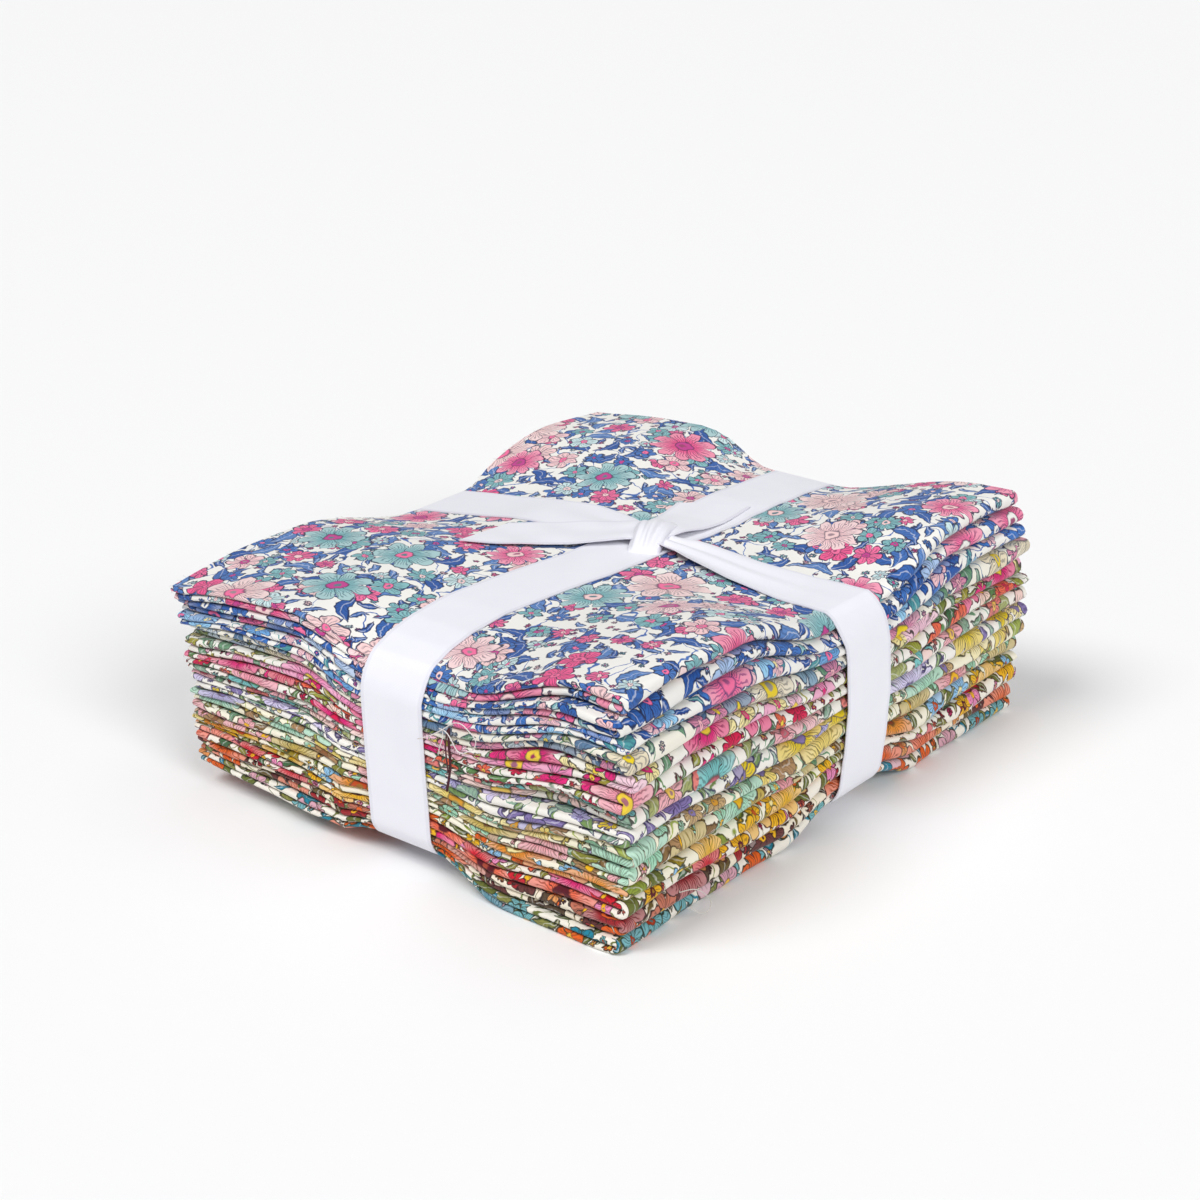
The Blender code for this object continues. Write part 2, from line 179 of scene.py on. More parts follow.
def slack(x, y, level):
    """How the layers wander up and down through the pile: one smooth field, so that none cuts another."""
    waves = (
        # height, length in x, length in y, length through the pile, phase
        (0.62, 170.0, 120.0, 23.0, 0.4),
        (0.45, -74.0, 96.0, 15.0, 2.1),
        (0.28, 46.0, -58.0, 10.5, 4.0),
    )
    total = 0.0
    for height, in_x, in_y, in_level, phase in waves:
        total = total + height * np.sin(2 * math.pi * (x / in_x + y / in_y + level / in_level) + phase)
    from_table = np.clip(level / 9.0, 0.0, 1.0)
    from_top = np.clip((STACK + 2.0 - level) / 11.0, 0.2, 1.0)
    return total * from_table * from_top


def drawn_in(along, aside, half, level):
    """How far the pull of the tape draws an edge inwards, most at the top and the bottom of the pile."""
    most_at_top, top_depth = 5.5, 13.0
    most_at_bottom, bottom_depth = 3.0, 8.0
    from_edge = 36.0
    top = most_at_top * np.clip(1 - (STACK - level) / top_depth, 0.0, 1.05) ** 2
    bottom = most_at_bottom * np.clip(1 - level / bottom_depth, 0.0, 1.05) ** 2
    t = np.clip((np.abs(along) - (half - from_edge)) / from_edge, 0.0, 1.0)
    return -np.sign(along) * (top + bottom) * t * t * pressed(aside, EDGE_REACH)


def puckers(x, y, level):
    """Small folds that run out of the valleys under the tape, in the uppermost cloth only."""
    height, depth = 0.35, 9.0
    total = 0.0
    for aside, along, length, phase in ((x - RIBBON_X, y, 17.0, 0.7), (y - RIBBON_Y, x, 21.0, 2.9)):
        rising = np.clip((np.abs(aside) - FLAT) / 9.0, 0.0, 1.0)
        fading = np.clip((46.0 - np.abs(aside)) / 30.0, 0.0, 1.0)
        total = total + rising * fading * np.sin(2 * math.pi * (along / length + aside / 70.0) + phase)
    return height * total * np.clip((level - STACK + depth) / depth, 0.0, 1.0)


def placed(x, y, level):
    """Points of the flat stack moved to where the tied stack has them, as an array of metres."""
    x, y = (
        x + drawn_in(x, y - RIBBON_Y, WIDTH_X / 2, level),
        y + drawn_in(y, x - RIBBON_X, LENGTH_Y / 2, level),
    )
    low = stack_bottom(x, y)
    z = low + (stack_top(x, y) - low) * (level + slack(x, y, level) + puckers(x, y, level)) / STACK
    return np.stack((x * MM + CENTRE[0], y * MM + CENTRE[1], (z + OVER_TABLE) * MM), axis=-1)


EDGES = (
    # left, back, front_left, front_right, right_front, right_back: past the nominal edges, in millimetres
    (2.0, -1.5, 0.5, -1.5, -2.0, -2.5),
    (1.0, 0.5, -0.8, 2.0, -1.0, 0.5),
    (0.0, -0.5, 0.0, 1.0, 1.0, 1.5),
    (-3.0, 1.0, -1.5, 1.5, 2.0, 3.0),
    (-1.5, -0.5, -0.5, 0.0, 2.5, 1.5),
    (-1.0, 1.5, 0.0, 0.5, 1.0, 3.0),
    (-2.0, 1.0, -0.5, -1.0, 1.5, 2.5),
    (-2.5, 1.0, -1.0, 1.5, 0.5, 3.5),
    (-2.0, 1.0, -0.5, 0.0, 2.0, 2.5),
    (-2.5, 0.0, -0.5, -1.0, 1.0, 1.0),
    (-2.8, -1.0, -1.0, 0.6, 1.0, 2.0),
    (-2.8, -1.5, -1.0, -0.2, -0.5, 2.5),
    (-3.0, -2.0, -1.5, 0.5, -1.0, 0.5),
    (-3.5, -1.5, -1.5, 1.0, -2.5, 0.0),
)
CLOTH = 0.28  # thickness of the cotton, its slack included
LOFT = 1.15  # between the two layers of the doubled cloth
PUFF = 0.85  # how much more the half fold stands open at the front edge
PUFF_DEPTH = 6.0
TUCK = 3.5  # the inner pass ends this far before the big fold
FRONT_STEPS = (0.0, 0.7, 1.6, 2.8, 4.4, 6.4, 9.0, 12.5)
RUN_STEPS, TURN_STEPS, HALF_FOLD_STEPS = 30, 7, 7


def path_of_letter_fold():
    """The section's stations as arrays: share of the run, which run, angle on a turn, and front recess."""
    rows = []
    for t in np.linspace(0, 1, RUN_STEPS):
        rows.append(("top", t, 90.0, 0.0))
    for t in np.linspace(0, 1, TURN_STEPS + 2)[1:-1]:
        rows.append(("big", t, 90.0 - 180.0 * t, 0.0))
    for t in np.linspace(0, 1, RUN_STEPS):
        rows.append(("bottom", t, -90.0, 0.0))
    for t in np.linspace(0, 1, TURN_STEPS + 2)[1:-1]:
        rows.append(("small", t, -90.0 - 180.0 * t, t))
    for t in np.linspace(0, 1, RUN_STEPS - 6):
        rows.append(("inner", t, -270.0, 1.0))
    return rows


def folded_piece(number):
    """Points of one fat quarter's two faces, as a grid along the letter fold and round the half fold, with
    the flat cloth's coordinates of each point."""
    piece = number - 1
    base = (PIECES - number) * (PIECE + PIECE_GAP)
    left_edge, back_edge, front_left, front_right, right_front, right_back = EDGES[piece]
    rng = np.random.default_rng(40 + number)
    phases = rng.uniform(0, 2 * math.pi, 12)
    recess_inner = rng.uniform(3.0, 6.0)
    recess_bottom = rng.uniform(-0.5, 1.6)

    half_run = [*FRONT_STEPS, *np.linspace(FRONT_STEPS[-1], LENGTH_Y, 34)[1:]]
    share = np.array(half_run) / LENGTH_Y
    fold_angles = np.linspace(90, -90, HALF_FOLD_STEPS + 2)[1:-1]
    layer = [(1, s) for s in share[::-1]] + [(0, a) for a in fold_angles] + [(-1, s) for s in share]

    rows = path_of_letter_fold()
    kind = np.array([r[0] for r in rows])[:, None]
    t = np.array([r[1] for r in rows])[:, None]
    angle = np.radians([r[2] for r in rows])[:, None]
    inner_share = np.array([r[3] for r in rows])[:, None]
    side = np.array([v[0] for v in layer])[None, :]
    along = np.array([v[1] if v[0] else 0.0 for v in layer])[None, :]
    turn = np.radians([v[1] if v[0] == 0 else (90.0 if v[0] > 0 else -90.0) for v in layer])[None, :]

    y_flat = -LENGTH_Y / 2 + LENGTH_Y * along + 0.0 * t
    hold_y = pressed(y_flat - RIBBON_Y, TOP_REACH)
    sway = 0.45 * np.sin(y_flat / 17.0 + phases[0]) + 0.35 * np.sin(y_flat / 7.3 + phases[1])
    right = right_front + (right_back - right_front) * (y_flat / LENGTH_Y + 0.5) + sway
    right = WIDTH_X / 2 + right * (1 - hold_y) - PULL_RIGHT * hold_y
    left = left_edge + 0.6 * np.sin(y_flat / 23.0 + phases[2])
    left = -(WIDTH_X / 2 + left * (1 - hold_y) - PULL_LEFT * hold_y)

    middle, big, small = PIECE / 2, PIECE / 2 - SHEET / 2, (SHEET + LAYER_GAP) / 2
    right_centre = right - middle
    left_centre = left + small + SHEET / 2
    n_x, n_z = np.cos(angle), np.sin(angle)
    x = np.select(
        [kind == "top", kind == "big", kind == "bottom", kind == "small"],
        [
            left + (right_centre - left) * t,
            right_centre + big * n_x,
            right_centre + (left_centre - right_centre) * t,
            left_centre + small * n_x,
        ],
        left_centre + (right_centre - TUCK - left_centre) * t,
    )
    z = 0 * x + np.select(
        [kind == "top", kind == "big", kind == "bottom", kind == "small"],
        [PIECE - SHEET / 2, middle + big * n_z, SHEET / 2, SHEET / 2 + small + small * n_z],
        middle,
    )

    puff = PUFF * (1 - inner_share)
    from_front = along * LENGTH_Y
    open_by = np.clip(1 - from_front / PUFF_DEPTH, 0, 1) ** 2 * puff
    outer = LOFT / 2
    inward = -LOFT / 2 - open_by
    radius = (LOFT + puff) / 2
    round_fold = (outer - LOFT / 2 - puff) / 2 + radius * np.sin(turn)
    offset = np.where(side > 0, outer, np.where(side < 0, inward, round_fold))
    hold_x = pressed(x - RIBBON_X, TOP_REACH)
    front = front_left + (front_right - front_left) * (x / WIDTH_X + 0.5)
    wave = 0.40 * np.sin(x / 15.0 + phases[3] + 1.7 * inner_share) + 0.30 * np.sin(x / 6.1 + phases[4])
    pass_recess = np.where(kind == "bottom", recess_bottom, 0.0) + inner_share * recess_inner
    pass_recess = np.where(kind == "big", recess_bottom * t, pass_recess)
    y_front = -(LENGTH_Y / 2 + (front + wave) * (1 - hold_x) - PULL_FRONT * hold_x)
    y_front = y_front + pass_recess * (1 - 0.7 * hold_x)
    y_front = y_front + 1.5 * np.clip((x - right + 5.0) / 5.0, 0, 1) ** 2
    y_front = y_front + np.clip((left + 5.0 - x) / 5.0, 0, 1) ** 2
    fray = 0.5 * np.sin(x / 9.0 + phases[5] + 2.0 * side)
    y_back = LENGTH_Y / 2 + (back_edge + fray) * (1 - hold_x) - PULL_BACK * hold_x
    y_run = y_front + radius + (y_back - y_front - radius) * along
    y = np.where(side == 0, y_front + radius * (1 - np.cos(turn)), y_run)

    points = placed(x + n_x * offset, y, base + z + n_z * offset)
    step_u = np.sqrt(np.diff(x, axis=0) ** 2 + np.diff(z, axis=0) ** 2)
    flat_u = np.concatenate((np.zeros((1, len(layer))), np.cumsum(step_u, axis=0)))
    flat_u = flat_u[:, len(layer) // 2][:, None] + 0 * x
    half_turn = math.pi * radius / 2
    under_side = 2 * y_front - y - 1.2 * half_turn
    on_turn = y_front - half_turn * (1 - np.sin(turn))
    flat_v = np.where(side > 0, y, np.where(side < 0, under_side, on_turn))
    return points, np.stack((flat_u, LENGTH_Y / 2 - flat_v), axis=-1)


def two_sided(points, thickness):
    """The grid's two faces, half the thickness to each side, and the faces of the closed skin."""
    rows, columns = points.shape[:2]
    across = np.gradient(points, axis=1)
    along = np.gradient(points, axis=0)
    normal = np.cross(along, across)
    normal /= np.maximum(np.linalg.norm(normal, axis=-1, keepdims=True), 1e-12)
    skin = np.concatenate(
        ((points + normal * thickness / 2).reshape(-1, 3), (points - normal * thickness / 2).reshape(-1, 3))
    )
    index = np.arange(rows * columns).reshape(rows, columns)
    a, b, c, d = index[:-1, :-1], index[:-1, 1:], index[1:, 1:], index[1:, :-1]
    upper = np.stack((a, d, c, b), axis=-1).reshape(-1, 4)
    lower = np.stack((a, b, c, d), axis=-1).reshape(-1, 4) + rows * columns
    rim = np.concatenate((index[0, :], index[1:, -1], index[-1, -2::-1], index[-2:0:-1, 0]))
    after = np.roll(rim, -1)
    wall = np.stack((rim, after, after + rows * columns, rim + rows * columns), axis=-1)
    return skin, np.concatenate((upper, lower, wall))


def mesh_of(name, skin, faces, flat):
    """A smooth mesh with a UV map that holds the flat cloth's coordinates in metres, point by point."""
    mesh = bpy.data.meshes.new(name)
    mesh.from_pydata(skin.tolist(), [], faces.tolist())
    uv = mesh.uv_layers.new(name="flat_cloth")
    corner_points = np.empty(len(mesh.loops), dtype=np.int32)
    mesh.loops.foreach_get("vertex_index", corner_points)
    uv.data.foreach_set("uv", flat[corner_points].astype(np.float32).ravel())
    mesh.shade_smooth()
    mesh.set_sharp_from_angle(angle=math.radians(70))
    mesh.validate()
    return mesh


def value_node(tree, operation, *inputs, clamp=False):
    """One Math node: inputs are sockets or numbers. Returns its output."""
    made = tree.nodes.new("ShaderNodeMath")
    made.operation = operation
    made.use_clamp = clamp
    for k, given in enumerate(inputs):
        if isinstance(given, (int, float)):
            made.inputs[k].default_value = given
        else:
            tree.links.new(given, made.inputs[k])
    return made.outputs[0]


def vector_node(tree, operation, *inputs):
    """One Vector Math node: inputs are sockets or triples."""
    made = tree.nodes.new("ShaderNodeVectorMath")
    made.operation = operation
    for k, given in enumerate(inputs):
        if isinstance(given, tuple):
            made.inputs[k].default_value = given
        elif isinstance(given, (int, float)):
            made.inputs["Scale"].default_value = given
        else:
            tree.links.new(given, made.inputs[k])
    return made.outputs["Value"] if operation in ("LENGTH", "DISTANCE", "DOT_PRODUCT") else made.outputs[0]


def mixed(tree, factor, first, second):
    """One colour Mix node: colours are sockets or triples."""
    made = tree.nodes.new("ShaderNodeMix")
    made.data_type = "RGBA"
    for socket, given in ((made.inputs[0], factor), (made.inputs[6], first), (made.inputs[7], second)):
        if isinstance(given, tuple):
            socket.default_value = (*given, 1.0)
        elif isinstance(given, (int, float)):
            socket.default_value = given
        else:
            tree.links.new(given, socket)
    return made.outputs[2]


def below(tree, value, limit, soft):
    """1 where value is under limit, with an edge this soft."""
    return value_node(
        tree, "MULTIPLY_ADD", value_node(tree, "SUBTRACT", limit, value), 1.0 / soft, 0.5, clamp=True
    )


def linear(hexed):
    """A linear colour from a written sRGB one, as dark as dyed cotton is."""
    channels = [int(hexed[k : k + 2], 16) / 255 for k in (0, 2, 4)]
    return tuple(0.92 * (c / 12.92 if c <= 0.04045 else ((c + 0.055) / 1.055) ** 2.4) for c in channels)


def picked(tree, chance, colours):
    """One of these colours, by a random number from 0 to 1."""
    ramp = tree.nodes.new("ShaderNodeValToRGB")
    ramp.color_ramp.interpolation = "CONSTANT"
    steps = ramp.color_ramp.elements
    while len(steps) < len(colours):
        steps.new(0.5)
    for k, colour in enumerate(colours):
        steps[k].position = k / len(colours)
        steps[k].color = (*linear(colour), 1.0)
    tree.links.new(chance, ramp.inputs[0])
    return ramp.outputs[0]


def scattered(tree, place, cell, seed, randomness=0.75):
    """Motif places: offset from the nearest one in millimetres, its radius and angle, and three chances."""
    in_cells = vector_node(tree, "SCALE", place, 1.0 / cell)
    grid = vector_node(tree, "ADD", in_cells, (seed * 3.7, seed * 1.9, 0.0))
    cells = tree.nodes.new("ShaderNodeTexVoronoi")
    cells.voronoi_dimensions = "2D"
    cells.inputs["Scale"].default_value = 1.0
    cells.inputs["Randomness"].default_value = randomness
    tree.links.new(grid, cells.inputs["Vector"])
    offset = vector_node(tree, "SUBTRACT", grid, cells.outputs["Position"])
    parts = tree.nodes.new("ShaderNodeSeparateXYZ")
    tree.links.new(offset, parts.inputs[0])
    chances = tree.nodes.new("ShaderNodeSeparateColor")
    tree.links.new(cells.outputs["Color"], chances.inputs[0])
    radius = value_node(tree, "MULTIPLY", vector_node(tree, "LENGTH", offset), cell)
    turn = value_node(tree, "MULTIPLY", chances.outputs[1], 2 * math.pi)
    angle = value_node(tree, "ADD", value_node(tree, "ARCTAN2", parts.outputs[1], parts.outputs[0]), turn)
    return radius, angle, chances.outputs


def flower(tree, place, cell, seed, size, spread, petals, chance_shown, colours, centres, ink, under):
    """Open flowers over what is under them: petals in two tones with inked outlines and a dotted centre."""
    radius, angle, chances = scattered(tree, place, cell, seed)
    reach = value_node(tree, "MULTIPLY_ADD", chances[0], spread, size)
    further = value_node(tree, "FLOOR", value_node(tree, "MULTIPLY", chances[2], 3.99))
    count = value_node(tree, "ADD", further, float(petals))
    half_turns = value_node(tree, "MULTIPLY", value_node(tree, "MULTIPLY", angle, count), 0.5)
    lobe = value_node(tree, "ABSOLUTE", value_node(tree, "COSINE", half_turns))
    scallop = value_node(tree, "MULTIPLY_ADD", value_node(tree, "POWER", lobe, 0.55), 0.48, 0.52)
    outline = value_node(tree, "MULTIPLY", reach, scallop)
    shown = below(tree, 1.0 - chance_shown, chances[1], 0.001)
    inside = value_node(tree, "MULTIPLY", below(tree, radius, outline, 0.18), shown)
    share = value_node(tree, "DIVIDE", radius, reach)
    petal = picked(tree, chances[0], colours)
    deep = mixed(tree, 0.62, petal, ink)
    pale = mixed(tree, 0.25, petal, (0.80, 0.78, 0.76))
    tone = mixed(tree, below(tree, share, 0.50, 0.25), pale if size > 4 else petal, petal)
    streak = value_node(tree, "SINE", value_node(tree, "MULTIPLY", angle, 43.0 if size > 4 else 21.0))
    veins = value_node(tree, "MULTIPLY", below(tree, 0.45, streak, 0.5), below(tree, share, 0.76, 0.12))
    tone = mixed(tree, value_node(tree, "MULTIPLY", veins, 0.85), tone, deep)
    gap = below(tree, value_node(tree, "MULTIPLY", lobe, radius), 0.34, 0.25)
    edge = below(tree, value_node(tree, "SUBTRACT", outline, radius), 0.42, 0.2)
    inked = value_node(tree, "MAXIMUM", gap, edge)
    tone = mixed(tree, value_node(tree, "MULTIPLY", inked, 0.95), tone, ink)
    tone = mixed(tree, below(tree, share, 0.27, 0.05), tone, ink)
    tone = mixed(tree, below(tree, share, 0.235, 0.05), tone, picked(tree, chances[2], centres))
    tone = mixed(tree, below(tree, share, 0.10, 0.04), tone, deep)
    return mixed(tree, inside, under, tone)


def leaf(tree, place, cell, seed, length, width, chance_shown, colours, ink, under):
    """Pointed leaves over what is under them, each with an inked outline and a pale midrib."""
    radius, angle, chances = scattered(tree, place, cell, seed, 0.9)
    run = value_node(tree, "MULTIPLY", radius, value_node(tree, "COSINE", angle))
    side = value_node(tree, "MULTIPLY", radius, value_node(tree, "SINE", angle))
    bow = value_node(tree, "MULTIPLY", value_node(tree, "MULTIPLY", run, run), 0.10)
    curved = value_node(tree, "ABSOLUTE", value_node(tree, "SUBTRACT", side, bow))
    span = value_node(tree, "DIVIDE", run, length)
    taper = value_node(tree, "SUBTRACT", 1.0, value_node(tree, "MULTIPLY", span, span))
    half = value_node(tree, "MULTIPLY", taper, width)
    shown = below(tree, 1.0 - chance_shown, chances[0], 0.001)
    inside = value_node(tree, "MULTIPLY", below(tree, curved, half, 0.18), shown)
    tone = picked(tree, chances[2], colours)
    pale = mixed(tree, 0.4, tone, (0.78, 0.78, 0.78))
    edge = below(tree, value_node(tree, "SUBTRACT", half, curved), 0.32, 0.2)
    slant = value_node(tree, "ADD", run, curved)
    slanted = value_node(tree, "SINE", value_node(tree, "MULTIPLY", slant, 5.2))
    hatched = value_node(tree, "MULTIPLY", below(tree, 0.35, slanted, 0.5), 0.55)
    tone = mixed(tree, hatched, tone, mixed(tree, 0.6, tone, ink))
    ribs = below(tree, curved, 0.16, 0.15)
    tone = mixed(tree, ribs, tone, pale)
    tone = mixed(tree, value_node(tree, "MULTIPLY", edge, 0.9), tone, ink)
    return mixed(tree, inside, under, tone)


def floral_cotton(name, seed, scale, ground, ink, big, small, leaves, centres):
    """Fine printed cotton: flowers, leaves, stems and berries scattered on a pale ground, and the weave."""
    cotton = bpy.data.materials.new(name)
    cotton.use_nodes = True
    tree = cotton.node_tree
    shader = tree.nodes["Principled BSDF"]
    flat = tree.nodes.new("ShaderNodeUVMap")
    flat.uv_map = "flat_cloth"
    to_mm = tree.nodes.new("ShaderNodeMapping")
    units_a_metre = 1000.0 / (1.35 * scale)
    to_mm.inputs["Scale"].default_value = (units_a_metre, units_a_metre, 1.0)
    to_mm.inputs["Location"].default_value = (seed * 31.0, seed * 17.0, 0.0)
    tree.links.new(flat.outputs[0], to_mm.inputs[0])
    hand = tree.nodes.new("ShaderNodeTexNoise")
    hand.noise_dimensions = "2D"
    hand.inputs["Scale"].default_value = 0.30
    hand.inputs["Detail"].default_value = 2.0
    tree.links.new(to_mm.outputs[0], hand.inputs["Vector"])
    off_middle = vector_node(tree, "SUBTRACT", hand.outputs["Color"], (0.5, 0.5, 0.5))
    drift = vector_node(tree, "SCALE", off_middle, 2.4)
    place = vector_node(tree, "ADD", to_mm.outputs[0], drift)

    stems = tree.nodes.new("ShaderNodeTexNoise")
    stems.noise_dimensions = "2D"
    stems.inputs["Scale"].default_value = 0.055
    stems.inputs["Detail"].default_value = 1.0
    tree.links.new(place, stems.inputs["Vector"])
    dark = linear(ink)
    colour = linear(ground)
    for level, shade in ((0.46, leaves[0]), (0.58, leaves[1])):
        line = value_node(tree, "ABSOLUTE", value_node(tree, "SUBTRACT", stems.outputs[0], level))
        colour = mixed(tree, below(tree, line, 0.0055, 0.004), colour, linear(shade))
    colour = flower(tree, place, 3.9, seed + 5, 0.85, 0.5, 4, 0.55, big + small, centres, dark, colour)
    colour = leaf(tree, place, 6.0, seed + 4, 2.9, 1.0, 0.82, leaves, dark, colour)
    colour = leaf(tree, place, 10.0, seed + 3, 5.3, 2.0, 0.92, leaves[::-1], dark, colour)
    colour = flower(tree, place, 9.0, seed + 2, 2.4, 1.3, 5, 0.76, small, centres, dark, colour)
    all_petals = small[::-1] + big
    colour = flower(tree, place, 13.5, seed + 1, 3.7, 1.9, 5, 0.78, all_petals, centres, dark, colour)
    colour = flower(tree, place, 25.0, seed, 7.2, 3.6, 7, 0.85, big, centres, dark, colour)
    tree.links.new(colour, shader.inputs["Base Color"])

    weave_height = []
    for direction in ("X", "Y"):
        yarns = tree.nodes.new("ShaderNodeTexWave")
        yarns.wave_type = "BANDS"
        yarns.bands_direction = direction
        yarns.inputs["Scale"].default_value = 1.2 * scale
        yarns.inputs["Distortion"].default_value = 0.6
        tree.links.new(to_mm.outputs[0], yarns.inputs["Vector"])
        weave_height.append(yarns.outputs["Fac"])
    height = value_node(tree, "ADD", weave_height[0], weave_height[1])
    bump = tree.nodes.new("ShaderNodeBump")
    bump.inputs["Strength"].default_value = 0.25
    bump.inputs["Distance"].default_value = 0.00006
    tree.links.new(height, bump.inputs["Height"])
    tree.links.new(bump.outputs[0], shader.inputs["Normal"])
    shader.inputs["Roughness"].default_value = 0.85
    shader.inputs["Sheen Weight"].default_value = 0.12
    shader.inputs["Sheen Roughness"].default_value = 0.5
    shader.inputs["Specular IOR Level"].default_value = 0.25
    return cotton


PRINTS = (
    # slot, scale, ground, ink
    # big flowers
    # small flowers
    # leaves, then flower centres
    (
        "blue_and_pink", 1.0, "F1EFEA", "1B2346",
        ("F2709F", "F6CDD0", "86BDC2", "EE5C92", "F4CFCF"),
        ("CDE6E8", "F2709F", "4C7CC4", "86BDC2"),
        ("3564AE", "426FB6", "2C5AA6", "5C86C4"), ("F2709F", "C23F8E", "F4CFCF"),
    ),
    (
        "royal_blue", 0.9, "F1EFEA", "1B2346",
        ("2E62B0", "3F74C0", "A9C4E8", "F2709F"),
        ("2E62B0", "F4C6CB", "3F74C0"),
        ("2458A8", "2E62B0", "86BDC2"), ("F2709F", "F1EFEA"),
    ),
    (
        "sky_blue", 0.9, "F3F1EC", "20306A",
        ("3C78C8", "9CD0F0", "F2709F", "6FA8DC"),
        ("9CD0F0", "2E62B0", "F4C6CB"),
        ("2458A8", "4E9AA0", "3C78C8"), ("F2709F", "F3E3A0"),
    ),
    (
        "steel_blue", 1.0, "F2EEE0", "2A3550",
        ("8AA9BE", "5E7FA0", "E8DCC0", "D98BA8"),
        ("8AA9BE", "C9D6DC", "D98BA8"),
        ("6E9A78", "5E7FA0", "7A8A48"), ("E8CC20", "F2B5BD"),
    ),
    (
        "pink_and_olive", 1.0, "F3F0E8", "3A3030",
        ("F092C0", "E6277E", "F6C8DA", "F092C0"),
        ("E6277E", "F6C8DA", "F4E6A6"),
        ("A8A03A", "6E9A78", "7F8A3C"), ("F0D040", "E6277E"),
    ),
    (
        "crimson", 0.9, "F3EFE8", "4A1426",
        ("D81A50", "F07050", "E6277E", "F2A0B0"),
        ("F07050", "D81A50", "F6D8C8"),
        ("5E8A50", "3E6E48", "98A040"), ("F0D040", "D81A50"),
    ),
    (
        "rose_and_sage", 1.1, "F4F0E8", "403638",
        ("F2B5BD", "E8837C", "7CC8C8", "F6D4CC"),
        ("F2B5BD", "7CC8C8", "E8837C"),
        ("8FB09A", "6E9A78", "A8B070"), ("F0C860", "C86070"),
    ),
    (
        "lavender", 1.0, "F4F1EA", "38305A",
        ("B9B4DE", "8878B0", "E8CC20", "D8D0F0"),
        ("E8CC20", "B9B4DE", "F4E6A6"),
        ("7A9A58", "8FB09A", "8878B0"), ("E8CC20", "8878B0"),
    ),
    (
        "primrose", 1.0, "F6F0D8", "4A4030",
        ("F4E6A6", "B9B4DE", "F0D878", "A8DCC0"),
        ("F0D878", "A8DCC0", "C8A878"),
        ("A8B858", "7FB090", "B08A62"), ("D89A30", "8878B0"),
    ),
    (
        "tan_and_mint", 0.95, "F4EFDC", "4A3620",
        ("B08A62", "A8DCC0", "E8A0A8", "C8B058"),
        ("A8DCC0", "B08A62", "F2B5BD"),
        ("8A8A38", "6E9A78", "8A6A40"), ("F0B81C", "8A5A38"),
    ),
    (
        "mustard", 1.0, "F5F0DC", "40401C",
        ("F0B81C", "F4D860", "94C8F0", "E8902C"),
        ("F0B81C", "94C8F0", "E8641E"),
        ("6A7232", "8A9A38", "A08A20"), ("C04818", "F4E6A6"),
    ),
    (
        "red", 0.95, "F4EEE2", "4A1018",
        ("D81A30", "E6277E", "F0B81C", "F07050"),
        ("D81A30", "F092C0", "F0B81C"),
        ("6A7232", "8A8A38", "3E6E48"), ("F0B81C", "5A1020"),
    ),
    (
        "russet", 1.0, "F2E8D4", "301818",
        ("6B3A38", "A82830", "E8641E", "C87860"),
        ("A82830", "E8A060", "6B3A38"),
        ("6A5A30", "7A8A48", "5A4A38"), ("F0B81C", "E8641E"),
    ),
    (
        "teal_and_rust", 1.05, "F4EFE4", "26301C",
        ("E8641E", "1E86A0", "DCA8B8", "E89858"),
        ("DCA8B8", "E8641E", "7AB8C0"),
        ("6A7232", "1E86A0", "8A8A48"), ("F0C040", "A83818"),
    ),
)


